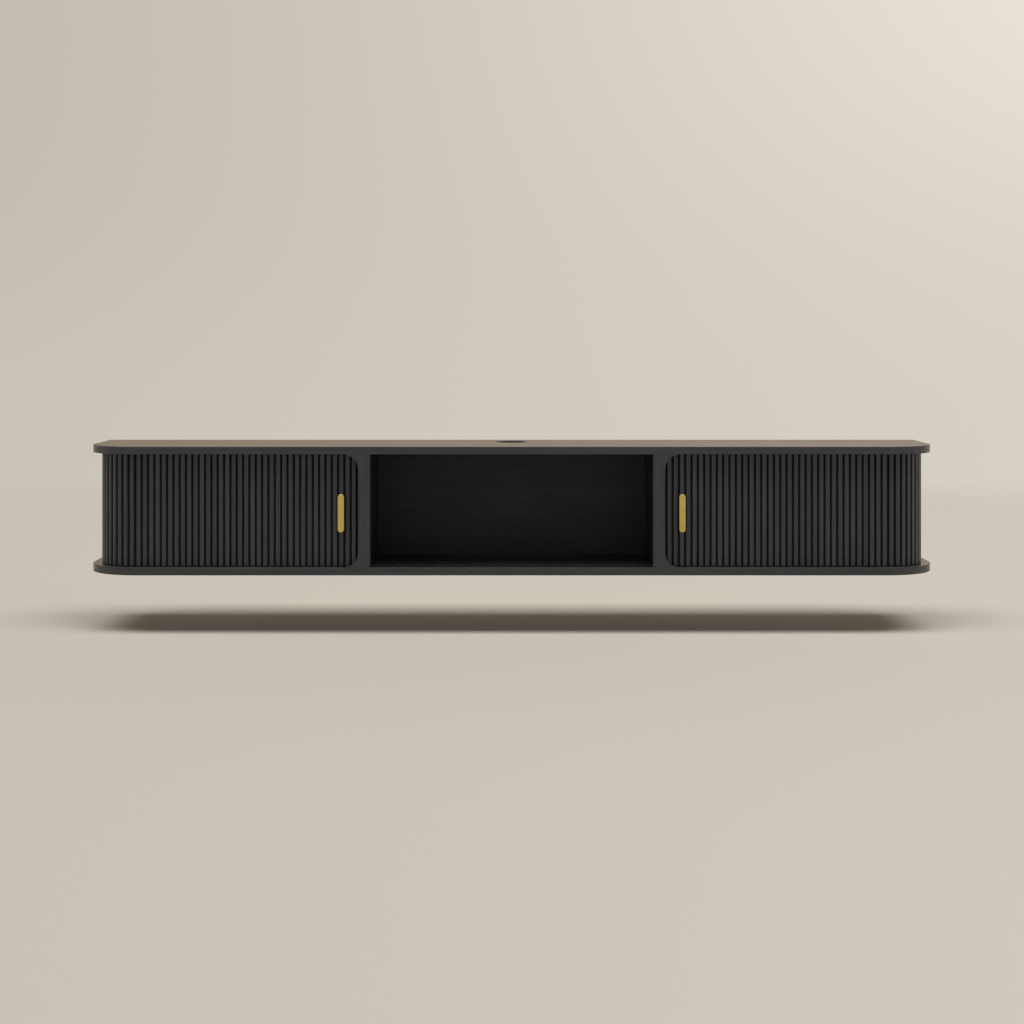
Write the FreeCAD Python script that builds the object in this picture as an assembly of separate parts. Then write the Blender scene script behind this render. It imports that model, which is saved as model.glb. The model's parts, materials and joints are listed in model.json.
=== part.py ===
"""Wall-hung media console: an open centre bay between two cupboards with tambour doors.

Millimetres, +Z up, +X to the right as seen from the room, front towards -Y.
The origin lies on the wall plane, at the middle of the line of wall screws.
"""
import FreeCAD, Part
import math
import os

# Carcass
WIDTH = 2000.0  # over the top and bottom panels
DEPTH = 300.0  # wall to the panels' front edge
HEIGHT = 300.0  # underside to top surface
BOARD = 18.0  # thickness of panels, dividers, stiles and cleats
CORNER_R = 125.0  # front corners of the panels
OVERHANG = 21.0  # panels beyond the faces of the slats
PANEL_EASING = 1.2  # bevel of the panels' outer edges
HOUSING_DEPTH = 4.0  # uprights and back panel let into the panels
BAY_WIDTH = 660.0  # clear width of the open bay
STILE_WIDTH = 28.0  # face width of the uprights beside the bay
SPANDREL_R = 35.0  # concave corners between stile and panels
STOP_RAIL_DEPTH = 20.0  # rail behind each stile that the door closes on
BACK_THICKNESS = 9.0
WALL_CAVITY = 20.0  # room for the cleats behind the back panel
POST_WIDTH = 28.0  # rear corner posts
INNER_END_SETBACK = 67.0  # outer face of the inner end, in from the slats' faces
INNER_END_THICKNESS = 15.0
INNER_END_FRONT_GAP = 24.0  # from the slats' front faces to the inner end's front edge
FALSE_BACK_THICKNESS = 6.0
FALSE_BACK_GAP = 5.0  # between the stored curtain and the false back

# Tambour curtain
SLAT_PITCH = 14.845
SLAT_BASE_WIDTH = 14.6
SLAT_BASE_THICKNESS = 4.0
SLAT_CROWN_WIDTH = 10.2
SLAT_CROWN_THICKNESS = 5.0
SLAT_CROWN_EASING = 1.4  # bevel of the crown's two edges
SLAT_SHOULDER_GAP = 1.5  # slat shoulders to the panels
TONGUE_LENGTH = 6.5  # the base runs on past the crown at both ends
GROOVE_SIDE_CLEARANCE = 0.8
GROOVE_END_CLEARANCE = 0.3
GLUE_LINE = 0.05
CLOTH_THICKNESS = 0.8
CLOTH_EDGE_MARGIN = 10.0  # cloth to the panels
CLOTH_WINDOW_MARGIN = 1.0  # round the handle's screw heads
REAR_BEND_R = 45.0  # cloth at the rear corner
REAR_RUN_CLEARANCE = 2.0  # stored curtain to the back panel
LEAD_SLATS = 5
TAIL_SLATS = 1  # slats past the rear bend when the door is shut

# Door fittings
BUMPER_THICKNESS = 3.7
BUMPER_CLEARANCE = 0.3
BUMPER_SIZE = 8.0
BUMPER_SPACING = 160.0
HANDLE_SLAT = 2  # counted from the stile, starting at zero
HANDLE_LENGTH = 90.0
HANDLE_WIDTH = 15.0
HANDLE_THICKNESS = 6.0
HANDLE_STANDOFF = 8.0
HANDLE_EASING = 2.2  # bevel round the bar's front
HANDLE_POST_R = 4.0
HANDLE_POST_SPACING = 64.0
HANDLE_DROP = 6.1  # handle's middle below the door's middle
HANDLE_SCREW_R = 1.9
HANDLE_SCREW_HEAD_R = 4.0
HANDLE_SCREW_HEAD = 2.4
HANDLE_SCREW_DEPTH = 9.0  # into the post and bar
SCREW_CLEARANCE = 0.2

# Cable grommet
GROMMET_BORE_R = 34.0
GROMMET_WALL = 2.0
GROMMET_FLANGE_R = 39.0
GROMMET_FLANGE = 2.5  # let in flush with the top surface
GROMMET_WALL_DISTANCE = 90.0
GROMMET_CLEARANCE = 0.2

# Wall mounting
SCREW_LINE_HEIGHT = 150.0  # wall screws above the underside
WALL_SCREW_R = 2.75
WALL_SCREW_INNER_SPACING = 400.0
WALL_SCREW_OUTER_SPACING = 1200.0
CLEAT_LENGTH = 1400.0
CLEAT_BEVEL_HEIGHT = 38.0  # middle of the bevel above the wall screws
WALL_CLEAT_DROP = 30.0  # wall cleat below the wall screws
CABINET_CLEAT_HEIGHT = 57.0  # above the middle of the bevel
SPACER_HEIGHT = 40.0
SPACER_RISE = 22.0  # above the bottom panel
LOCK_SCREW_SPACING = 190.0
LOCK_SCREW_RISE = 17.0  # above the wall screws
LOCK_SCREW_LENGTH = 26.0
LOCK_SCREW_R = 2.0
LOCK_SCREW_HEAD_R = 4.2
LOCK_SCREW_HEAD = 2.2

# Levels and planes that follow from the sizes above
UNDERSIDE = -SCREW_LINE_HEIGHT
TOP_SURFACE = UNDERSIDE + HEIGHT
FLOOR_Z = UNDERSIDE + BOARD
CEILING_Z = TOP_SURFACE - BOARD
FRONT_Y = -DEPTH
BACK_FRONT_Y = -WALL_CAVITY - BACK_THICKNESS
SLAT_THICKNESS = SLAT_BASE_THICKNESS + SLAT_CROWN_THICKNESS
FACE_X = WIDTH / 2 - OVERHANG
FACE_Y = FRONT_Y + OVERHANG
LINE_X = FACE_X - SLAT_THICKNESS
LINE_Y = FACE_Y + SLAT_THICKNESS
REAR_LINE_Y = BACK_FRONT_Y - REAR_RUN_CLEARANCE - SLAT_THICKNESS
BEND_R = CORNER_R - OVERHANG - SLAT_THICKNESS
BAY_X = BAY_WIDTH / 2
STILE_X = BAY_X + STILE_WIDTH
DIVIDER_X = BAY_X + BOARD
STILE_BACK_Y = FRONT_Y + BOARD
INNER_END_X = FACE_X - INNER_END_SETBACK
INNER_END_FRONT_Y = FACE_Y + INNER_END_FRONT_GAP
FALSE_BACK_Y = REAR_LINE_Y - CLOTH_THICKNESS - FALSE_BACK_GAP - FALSE_BACK_THICKNESS
SLAT_FLOOR_Z = FLOOR_Z + SLAT_SHOULDER_GAP
SLAT_CEILING_Z = CEILING_Z - SLAT_SHOULDER_GAP
TINY = 0.01  # for telling edges apart
GROOVE_DEPTH = TONGUE_LENGTH - SLAT_SHOULDER_GAP + GROOVE_END_CLEARANCE

# The curtain's line, measured along the front from the middle of the console,
# then round the front bend, along the side, round the rear bend and back inwards
FRONT_END = LINE_X - BEND_R
FRONT_BEND_END = FRONT_END + BEND_R * math.pi / 2
SIDE_END = FRONT_BEND_END + (REAR_LINE_Y - REAR_BEND_R) - (LINE_Y + BEND_R)
REAR_BEND_END = SIDE_END + REAR_BEND_R * math.pi / 2
FIRST_SLAT = STILE_X + BUMPER_THICKNESS + BUMPER_CLEARANCE + SLAT_BASE_WIDTH / 2
FRONT_COUNT = 1 + math.floor((FRONT_END - FIRST_SLAT) / SLAT_PITCH)
SLAT_COUNT = 1 + TAIL_SLATS + math.floor((REAR_BEND_END - FIRST_SLAT) / SLAT_PITCH)
TRAVEL = (FRONT_COUNT - LEAD_SLATS) * SLAT_PITCH
GROOVE_START = FIRST_SLAT - SLAT_BASE_WIDTH / 2
GROOVE_END = FIRST_SLAT + SLAT_COUNT * SLAT_PITCH + TRAVEL


def vec(x, y, z):
    return FreeCAD.Vector(x, y, z)


def block(x0, x1, y0, y1, z0, z1):
    """A rectangular board between two corners."""
    return Part.makeBox(x1 - x0, y1 - y0, z1 - z0, vec(x0, y0, z0))


def rod(radius, length, point, direction):
    return Part.makeCylinder(radius, length, point, direction)


def mirrored(shape):
    """The same piece on the other side of the console."""
    return shape.mirror(vec(0, 0, 0), vec(1, 0, 0))


def arc(centre, radius, start, end, z):
    """An arc in a level plane, from one angle to the other."""
    def at(angle):
        return vec(centre[0] + radius * math.cos(angle), centre[1] + radius * math.sin(angle), z)

    return Part.Arc(at(start), at((start + end) / 2), at(end)).toShape()


def countersunk_screw(radius, head_radius, head, length, point):
    """A flush-headed screw that runs towards the wall; its head starts at the point."""
    cone = Part.makeCone(head_radius, radius, head, point, vec(0, 1, 0))
    return cone.fuse(rod(radius, length, point, vec(0, 1, 0))).removeSplitter()


# ---- the curtain's line ----

def line_parts():
    """Each stretch of the line: start, end, kind, and what places it."""
    front_centre = (FRONT_END, LINE_Y + BEND_R)
    rear_centre = (LINE_X - REAR_BEND_R, REAR_LINE_Y - REAR_BEND_R)
    inward = rear_centre[0]
    return [
        (0.0, FRONT_END, "line", ((0.0, LINE_Y), (1.0, 0.0))),
        (FRONT_END, FRONT_BEND_END, "bend", (front_centre, BEND_R, -math.pi / 2)),
        (FRONT_BEND_END, SIDE_END, "line", ((LINE_X, front_centre[1]), (0.0, 1.0))),
        (SIDE_END, REAR_BEND_END, "bend", (rear_centre, REAR_BEND_R, 0.0)),
        (REAR_BEND_END, REAR_BEND_END + inward, "line", ((inward, REAR_LINE_Y), (-1.0, 0.0))),
    ]


def place_on_line(s):
    """The point at a distance along the line, and the outward direction there as an angle."""
    for start, end, kind, how in line_parts():
        if s <= end:
            break
    if kind == "line":
        (x, y), (dx, dy) = how
        return x + dx * (s - start), y + dy * (s - start), math.atan2(-dx, dy)
    centre, radius, first = how
    angle = first + (s - start) / radius
    return centre[0] + radius * math.cos(angle), centre[1] + radius * math.sin(angle), angle


def offset_edges(offset, s_from, s_to, z):
    """The line's edges between two distances, moved outwards by an offset."""
    edges = []
    for start, end, kind, how in line_parts():
        a = max(start, s_from)
        b = min(end, s_to)
        if b - a < 0.001:
            continue
        if kind == "line":
            (x, y), (dx, dy) = how
            ox = x + dy * offset
            oy = y - dx * offset
            first = vec(ox + dx * (a - start), oy + dy * (a - start), z)
            last = vec(ox + dx * (b - start), oy + dy * (b - start), z)
            edges.append(Part.makeLine(first, last))
        else:
            centre, radius, zero = how
            turn_a = zero + (a - start) / radius
            turn_b = zero + (b - start) / radius
            edges.append(arc(centre, radius + offset, turn_a, turn_b, z))
    return edges


def band(inner, outer, s_from, s_to, z0, z1):
    """A strip of even thickness that follows the line."""
    near = offset_edges(inner, s_from, s_to, z0)
    far = offset_edges(outer, s_from, s_to, z0)
    caps = [
        Part.makeLine(near[0].Vertexes[0].Point, far[0].Vertexes[0].Point),
        Part.makeLine(near[-1].Vertexes[-1].Point, far[-1].Vertexes[-1].Point),
    ]
    wire = Part.Wire(Part.__sortEdges__(near + far + caps))
    return Part.Face(wire).extrude(vec(0, 0, z1 - z0))


# ---- carcass ----

def panel_outline(z):
    """The panels' plan: square at the wall, rounded at the two front corners."""
    half = WIDTH / 2
    inner = half - CORNER_R
    centre_y = FRONT_Y + CORNER_R
    edges = [
        Part.makeLine(vec(-half, 0, z), vec(-half, centre_y, z)),
        arc((-inner, centre_y), CORNER_R, math.pi, 1.5 * math.pi, z),
        Part.makeLine(vec(-inner, FRONT_Y, z), vec(inner, FRONT_Y, z)),
        arc((inner, centre_y), CORNER_R, 1.5 * math.pi, 2 * math.pi, z),
        Part.makeLine(vec(half, centre_y, z), vec(half, 0, z)),
        Part.makeLine(vec(half, 0, z), vec(-half, 0, z)),
    ]
    return Part.Face(Part.Wire(edges))


def eased_panel(z):
    """A panel with its outer edges lightly bevelled, except along the wall."""
    panel = panel_outline(z).extrude(vec(0, 0, BOARD))
    outer = []
    for edge in panel.Edges:
        box = edge.BoundBox
        level = box.ZLength < TINY
        at_wall = box.YMin > -TINY
        if level and not at_wall:
            outer.append(edge)
    return panel.makeChamfer(PANEL_EASING, outer)


def track_groove(z):
    """The groove that the ends of the slats' bases run in."""
    inner = GLUE_LINE - GROOVE_SIDE_CLEARANCE
    outer = SLAT_BASE_THICKNESS + GROOVE_SIDE_CLEARANCE
    groove = band(inner, outer, GROOVE_START, GROOVE_END, z, z + GROOVE_DEPTH)
    return [groove, mirrored(groove)]


def housed_boards():
    """The boards that are let into both panels, which are cut to fit them."""
    pair = [divider(), inner_end()]
    return pair + [mirrored(board) for board in pair] + [back_board()]


def top_panel():
    cuts = track_groove(CEILING_Z) + housed_boards() + [grommet_body(GROMMET_CLEARANCE)]
    return eased_panel(CEILING_Z).cut(cuts)


def bottom_panel():
    cuts = track_groove(FLOOR_Z - GROOVE_DEPTH) + housed_boards()
    return eased_panel(UNDERSIDE).cut(cuts)


def housed(x0, x1, y0, y1):
    """A board that reaches into both panels."""
    return block(x0, x1, y0, y1, FLOOR_Z - HOUSING_DEPTH, CEILING_Z + HOUSING_DEPTH)


def divider():
    return housed(BAY_X, DIVIDER_X, STILE_BACK_Y, BACK_FRONT_Y)


def inner_end():
    return housed(INNER_END_X - INNER_END_THICKNESS, INNER_END_X, INNER_END_FRONT_Y, FALSE_BACK_Y)


def stile():
    """The upright's face, which flares into the panels with a concave quarter round."""
    reach = STILE_X + SPANDREL_R
    post = block(BAY_X, reach, FRONT_Y, STILE_BACK_Y, FLOOR_Z, CEILING_Z)
    low = FLOOR_Z + SPANDREL_R
    high = CEILING_Z - SPANDREL_R
    hollow = block(STILE_X, reach, FRONT_Y, STILE_BACK_Y, low, high)
    rounds = [rod(SPANDREL_R, BOARD, vec(reach, FRONT_Y, z), vec(0, 1, 0)) for z in (low, high)]
    return post.cut([hollow] + rounds)


def stop_rail():
    rear = STILE_BACK_Y + STOP_RAIL_DEPTH
    return block(DIVIDER_X, STILE_X, STILE_BACK_Y, rear, FLOOR_Z, CEILING_Z)


def false_back():
    """The cupboard's back, in front of the curtain's stored length."""
    rear = FALSE_BACK_Y + FALSE_BACK_THICKNESS
    return block(DIVIDER_X, INNER_END_X, FALSE_BACK_Y, rear, FLOOR_Z, CEILING_Z)


def rear_post():
    return block(FACE_X - POST_WIDTH, FACE_X, BACK_FRONT_Y, 0, FLOOR_Z, CEILING_Z)


def lock_screw(x, spare):
    """A screw that locks the cabinet to the wall cleat, grown by a clearance for its hole."""
    return countersunk_screw(
        LOCK_SCREW_R + spare, LOCK_SCREW_HEAD_R + spare, LOCK_SCREW_HEAD,
        LOCK_SCREW_LENGTH + spare, vec(x, BACK_FRONT_Y, LOCK_SCREW_RISE),
    )


def lock_screws(spare):
    return [lock_screw(side * LOCK_SCREW_SPACING / 2, spare) for side in (-1, 1)]


def back_board():
    side = FACE_X - POST_WIDTH
    return housed(-side, side, BACK_FRONT_Y, -WALL_CAVITY)


def back_panel():
    return back_board().cut(lock_screws(SCREW_CLEARANCE))


# ---- wall mounting ----

def cleat_profile(y0, y1, z_end):
    """A cleat's section: its bevel runs at 45 degrees through the cleats' common middle."""
    middle = -WALL_CAVITY / 2
    bevel = CLEAT_BEVEL_HEIGHT + middle
    half = CLEAT_LENGTH / 2
    corners = [(y0, z_end), (y1, z_end), (y1, bevel - y1), (y0, bevel - y0), (y0, z_end)]
    wire = Part.makePolygon([vec(-half, y, z) for y, z in corners])
    return Part.Face(wire).extrude(vec(CLEAT_LENGTH, 0, 0))


def wall_cleat():
    """Screwed to the wall; its bevel rises away from the wall and carries the cabinet."""
    cleat = cleat_profile(-BOARD, 0, -WALL_CLEAT_DROP)
    holes = []
    for spacing in (WALL_SCREW_INNER_SPACING, WALL_SCREW_OUTER_SPACING):
        for x in (-spacing / 2, spacing / 2):
            holes.append(rod(WALL_SCREW_R, BOARD, vec(x, -BOARD, 0), vec(0, 1, 0)))
    return cleat.cut(holes + lock_screws(SCREW_CLEARANCE))


def cabinet_cleat():
    """Screwed to the back panel; it hooks over the wall cleat."""
    top = CLEAT_BEVEL_HEIGHT + CABINET_CLEAT_HEIGHT
    return cleat_profile(-WALL_CAVITY, BOARD - WALL_CAVITY, top)


def lower_spacer():
    """Keeps the cabinet upright against the wall."""
    half = CLEAT_LENGTH / 2
    low = FLOOR_Z + SPACER_RISE
    return block(-half, half, -WALL_CAVITY, 0, low, low + SPACER_HEIGHT)


# ---- curtain ----

def slat():
    """One slat on end: a flat base, and a narrower bevelled crown between the panels."""
    crown = SLAT_CROWN_WIDTH / 2
    flat = crown - SLAT_CROWN_EASING
    shoulder = SLAT_THICKNESS - SLAT_CROWN_EASING
    outline = [(-crown, SLAT_BASE_THICKNESS), (crown, SLAT_BASE_THICKNESS), (crown, shoulder)]
    outline += [(flat, SLAT_THICKNESS), (-flat, SLAT_THICKNESS), (-crown, shoulder)]
    wire = Part.makePolygon([vec(u, -v, SLAT_FLOOR_Z) for u, v in outline + outline[:1]])
    ridge = Part.Face(wire).extrude(vec(0, 0, SLAT_CEILING_Z - SLAT_FLOOR_Z))
    base = block(
        -SLAT_BASE_WIDTH / 2, SLAT_BASE_WIDTH / 2, -SLAT_BASE_THICKNESS, -GLUE_LINE,
        SLAT_FLOOR_Z - TONGUE_LENGTH, SLAT_CEILING_Z + TONGUE_LENGTH,
    )
    return base.fuse(ridge).removeSplitter()


def placed_slat(number):
    x, y, outward = place_on_line(FIRST_SLAT + number * SLAT_PITCH)
    piece = slat()
    piece.rotate(vec(0, 0, 0), vec(0, 0, 1), math.degrees(outward) + 90)
    piece.translate(vec(x, y, 0))
    return piece


def slats(first, last):
    """The slats from one number up to, but not with, another."""
    return [placed_slat(number) for number in range(first, last)]


def cloth(first, last):
    """The backing cloth behind a run of slats."""
    s_from = FIRST_SLAT + (first - 0.5) * SLAT_PITCH
    s_to = FIRST_SLAT + (last - 0.5) * SLAT_PITCH
    low = FLOOR_Z + CLOTH_EDGE_MARGIN
    return band(-CLOTH_THICKNESS, 0, s_from, s_to, low, CEILING_Z - CLOTH_EDGE_MARGIN)


def lead_slats():
    pieces = slats(0, LEAD_SLATS)
    drilled = pieces[HANDLE_SLAT].cut(handle_holes())
    return pieces[:HANDLE_SLAT] + [drilled] + pieces[HANDLE_SLAT + 1:]


def lead_cloth():
    """The cloth behind the lead slats, cut away where the screw heads bear on the wood."""
    half = HANDLE_SCREW_HEAD_R + CLOTH_WINDOW_MARGIN
    x = handle_x()
    rear = LINE_Y + CLOTH_THICKNESS
    windows = [block(x - half, x + half, LINE_Y, rear, z - half, z + half)
               for z in handle_post_levels()]
    return cloth(0, LEAD_SLATS).cut(windows)


# ---- door fittings ----

def handle_x():
    return FIRST_SLAT + HANDLE_SLAT * SLAT_PITCH


def handle_post_levels():
    middle = (FLOOR_Z + CEILING_Z) / 2 - HANDLE_DROP
    return [middle - HANDLE_POST_SPACING / 2, middle + HANDLE_POST_SPACING / 2]


def handle_screw(z, spare):
    """The shank of a screw through the slat and into the post, grown by a clearance."""
    behind = LINE_Y - GLUE_LINE
    depth = SLAT_THICKNESS - GLUE_LINE + HANDLE_SCREW_DEPTH + spare
    return rod(HANDLE_SCREW_R + spare, depth, vec(handle_x(), behind, z), vec(0, -1, 0))


def handle_holes():
    return [handle_screw(z, SCREW_CLEARANCE) for z in handle_post_levels()]


def handle_screws():
    """Pan-head screws that bear on the back of the handle's slat."""
    behind = LINE_Y - GLUE_LINE
    pieces = []
    for z in handle_post_levels():
        centre = vec(handle_x(), behind, z)
        head = rod(HANDLE_SCREW_HEAD_R, HANDLE_SCREW_HEAD, centre, vec(0, 1, 0))
        pieces.append(head.fuse(handle_screw(z, 0)).removeSplitter())
    return pieces


def handle():
    """A pill-shaped bar on two round posts."""
    x = handle_x()
    low, high = handle_post_levels()
    middle = (low + high) / 2
    radius = HANDLE_WIDTH / 2
    reach = HANDLE_LENGTH / 2 - radius
    back = FACE_Y - HANDLE_STANDOFF
    ends = [rod(radius, HANDLE_THICKNESS, vec(x, back, middle + side * reach), vec(0, -1, 0))
            for side in (-1, 1)]
    bar = block(
        x - radius, x + radius, back - HANDLE_THICKNESS, back, middle - reach, middle + reach
    ).fuse(ends).removeSplitter()
    front = back - HANDLE_THICKNESS
    rim = [edge for edge in bar.Edges if edge.BoundBox.YMax < front + TINY]
    bar = bar.makeChamfer(HANDLE_EASING, rim)
    posts = [rod(HANDLE_POST_R, HANDLE_STANDOFF, vec(x, FACE_Y, z), vec(0, -1, 0))
             for z in (low, high)]
    return bar.fuse(posts).removeSplitter().cut(handle_holes())


def bumpers():
    """Soft pads on the stop rail, where the first slat closes."""
    y = (LINE_Y + FACE_Y - BUMPER_SIZE) / 2
    middle = (FLOOR_Z + CEILING_Z - BUMPER_SIZE) / 2
    levels = (middle - BUMPER_SPACING / 2, middle + BUMPER_SPACING / 2)
    size = (BUMPER_THICKNESS, BUMPER_SIZE, BUMPER_SIZE)
    return [Part.makeBox(*size, vec(STILE_X, y, z)) for z in levels]


def grommet_body(spare):
    """The grommet's outside, grown by a clearance: a sleeve under a flush flange."""
    foot = vec(0, -GROMMET_WALL_DISTANCE, CEILING_Z)
    seat = vec(0, -GROMMET_WALL_DISTANCE, TOP_SURFACE - GROMMET_FLANGE)
    sleeve = rod(GROMMET_BORE_R + GROMMET_WALL + spare, BOARD, foot, vec(0, 0, 1))
    flange = rod(GROMMET_FLANGE_R + spare, GROMMET_FLANGE, seat, vec(0, 0, 1))
    return sleeve.fuse(flange).removeSplitter()


def cable_grommet():
    """A flanged sleeve let into the top panel, for cables to the bay."""
    foot = vec(0, -GROMMET_WALL_DISTANCE, CEILING_Z)
    return grommet_body(0).cut(rod(GROMMET_BORE_R, BOARD, foot, vec(0, 0, 1)))


def write(name, pieces):
    """One STEP file, of a single piece or of a set of like pieces."""
    solids = []
    for piece in pieces if isinstance(pieces, list) else [pieces]:
        solids += piece.Solids
    shape = solids[0] if len(solids) == 1 else Part.makeCompound(solids)
    shape.exportStep("parts/" + name + ".step")


def write_pair(name, pieces):
    """The right-hand piece, and its mirror image on the left."""
    pieces = pieces if isinstance(pieces, list) else [pieces]
    write("right_" + name, pieces)
    write("left_" + name, [mirrored(piece) for piece in pieces])


def main():
    os.makedirs("parts", exist_ok=True)
    write("top_panel", top_panel())
    write("bottom_panel", bottom_panel())
    write("back_panel", back_panel())
    write("wall_cleat", wall_cleat())
    write("cabinet_cleat", cabinet_cleat())
    write("lower_spacer", lower_spacer())
    write("cable_grommet", cable_grommet())
    write("lock_screws", lock_screws(0))
    write_pair("divider", divider())
    write_pair("stile", stile())
    write_pair("stop_rail", stop_rail())
    write_pair("inner_end", inner_end())
    write_pair("false_back", false_back())
    write_pair("rear_post", rear_post())
    write_pair("lead_slats", lead_slats())
    write_pair("front_slats", slats(LEAD_SLATS, FRONT_COUNT))
    write_pair("end_slats", slats(FRONT_COUNT, SLAT_COUNT))
    write_pair("lead_cloth", lead_cloth())
    write_pair("front_cloth", cloth(LEAD_SLATS, FRONT_COUNT))
    write_pair("end_cloth", cloth(FRONT_COUNT, SLAT_COUNT))
    write_pair("handle", handle())
    write_pair("handle_screws", handle_screws())
    write_pair("door_bumpers", bumpers())
    print("slats on the front", FRONT_COUNT, "in all", SLAT_COUNT, "travel", round(TRAVEL, 2))


main()
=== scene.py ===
"""Looks for a wall-hung media console with an open bay and two tambour doors.

Metres, in the part's own frame: +X right, -Y towards the room, +Z up, and the wall at y = 0.
"""
import json
import math

import bmesh
import bpy
from bpy.props import FloatProperty, FloatVectorProperty, IntProperty, PointerProperty
from mathutils import Matrix, Vector

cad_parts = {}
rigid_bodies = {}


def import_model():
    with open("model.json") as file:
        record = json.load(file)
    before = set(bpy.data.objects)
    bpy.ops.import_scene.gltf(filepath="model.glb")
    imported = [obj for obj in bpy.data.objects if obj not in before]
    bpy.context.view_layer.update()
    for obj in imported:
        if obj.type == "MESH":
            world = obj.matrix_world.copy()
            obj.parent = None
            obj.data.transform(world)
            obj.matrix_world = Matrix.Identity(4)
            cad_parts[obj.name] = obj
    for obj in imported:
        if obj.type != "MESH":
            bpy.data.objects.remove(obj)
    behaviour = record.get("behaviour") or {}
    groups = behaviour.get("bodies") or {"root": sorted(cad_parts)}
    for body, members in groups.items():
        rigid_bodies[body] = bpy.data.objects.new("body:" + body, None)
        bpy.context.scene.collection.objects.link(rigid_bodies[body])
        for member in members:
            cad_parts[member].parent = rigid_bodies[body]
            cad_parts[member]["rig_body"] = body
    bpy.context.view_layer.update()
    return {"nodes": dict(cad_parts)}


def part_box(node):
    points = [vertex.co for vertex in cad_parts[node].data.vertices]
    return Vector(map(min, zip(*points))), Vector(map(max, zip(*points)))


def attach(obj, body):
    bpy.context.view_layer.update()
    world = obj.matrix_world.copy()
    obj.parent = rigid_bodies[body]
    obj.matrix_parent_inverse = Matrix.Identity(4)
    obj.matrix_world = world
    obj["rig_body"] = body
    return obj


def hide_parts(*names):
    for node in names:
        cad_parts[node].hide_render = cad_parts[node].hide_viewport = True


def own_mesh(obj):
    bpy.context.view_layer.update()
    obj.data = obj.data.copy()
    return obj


bl_info = {
    "name": "Tambour Media Console",
    "version": (1, 0, 0),
    "blender": (4, 5, 0),
    "location": "View3D > Sidebar > Console",
    "description": "Slatted media console with brass handles, in a plain studio",
    "category": "Object",
}

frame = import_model()

SIDES = (("left", -1), ("right", 1))
TOP_LOW, TOP_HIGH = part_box("top_panel")
BOTTOM_LOW, BOTTOM_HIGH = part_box("bottom_panel")
LEAD_LOW, LEAD_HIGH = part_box("right_lead_slats")
END_CLOTH_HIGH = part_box("right_end_cloth")[1]
LEAD_CLOTH_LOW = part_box("right_lead_cloth")[0]
POST_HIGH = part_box("right_rear_post")[1]
GROMMET_LOW, GROMMET_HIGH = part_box("cable_grommet")
LOCK_LOW, LOCK_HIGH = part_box("lock_screws")

# The curtain's line in plan, which is the back of its slats, and its two bends.
OVERHANG = TOP_HIGH.x - POST_HIGH.x
LINE_X = END_CLOTH_HIGH.x
LINE_Y = LEAD_CLOTH_LOW.y
REAR_LINE_Y = END_CLOTH_HIGH.y
SLAT_THICKNESS = LINE_Y - LEAD_LOW.y
PANEL_CORNER = 0.125
BEND_RADIUS = PANEL_CORNER - OVERHANG - SLAT_THICKNESS
REAR_BEND_RADIUS = 0.045

# Glue lines, gaps, and how far pieces are sunk, inset or eased.
GLUE = 0.00005
FRONT_SLATS_SUNK = 0.00005
HANDLE_STANDOFF = 0.008
HANDLE_SOFT = 0.0003
HANDLE_DISH = 0.0005
POST_SUNK = 0.0005
SCREW_INSET = 0.045
SCREW_SUNK = 0.0006
SCREW_PLAY = 0.0003
PAD_ROUNDING = 0.0008

# How the meshes are worked.
CUT_SPARE = 0.002
WELD = 1e-6
FINE_WELD = 1e-7
QUARTER = math.pi / 2
FLAT_ANGLE = math.radians(1)
SHARP_ANGLE = math.radians(35)
ROUNDED_ANGLE = math.radians(40)
UP = Vector((0, 0, 1))
DOWN = Vector((0, 0, -1))
TO_ROOM = Vector((0, -1, 0))

# Where the eye and the lamp stand.
EYE_DISTANCE = 4.4025
EYE_RISE = 0.2575
EYE = Vector((0.0, TOP_LOW.y - EYE_DISTANCE, TOP_HIGH.z + EYE_RISE))
FLOOR_RADIUS = 60.0
LAMP_HEIGHT = 30.0
LAMP_REACH_ANGLE = math.radians(28)
LAMP_HALF_ANGLE = math.radians(36.5)
LAMP_POWER = 12750.0

# The shares of the front fill that reflections see level and high up, and the light from all round.
ROOM_SHARE = 0.84
CEILING_SHARE = 0.33
FRONT_LIGHT = 0.22
REAR_LIGHT = 2.10
HIGH_LIGHT = 0.06


# ---------------------------------------------------------------- sizes and colours

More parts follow.
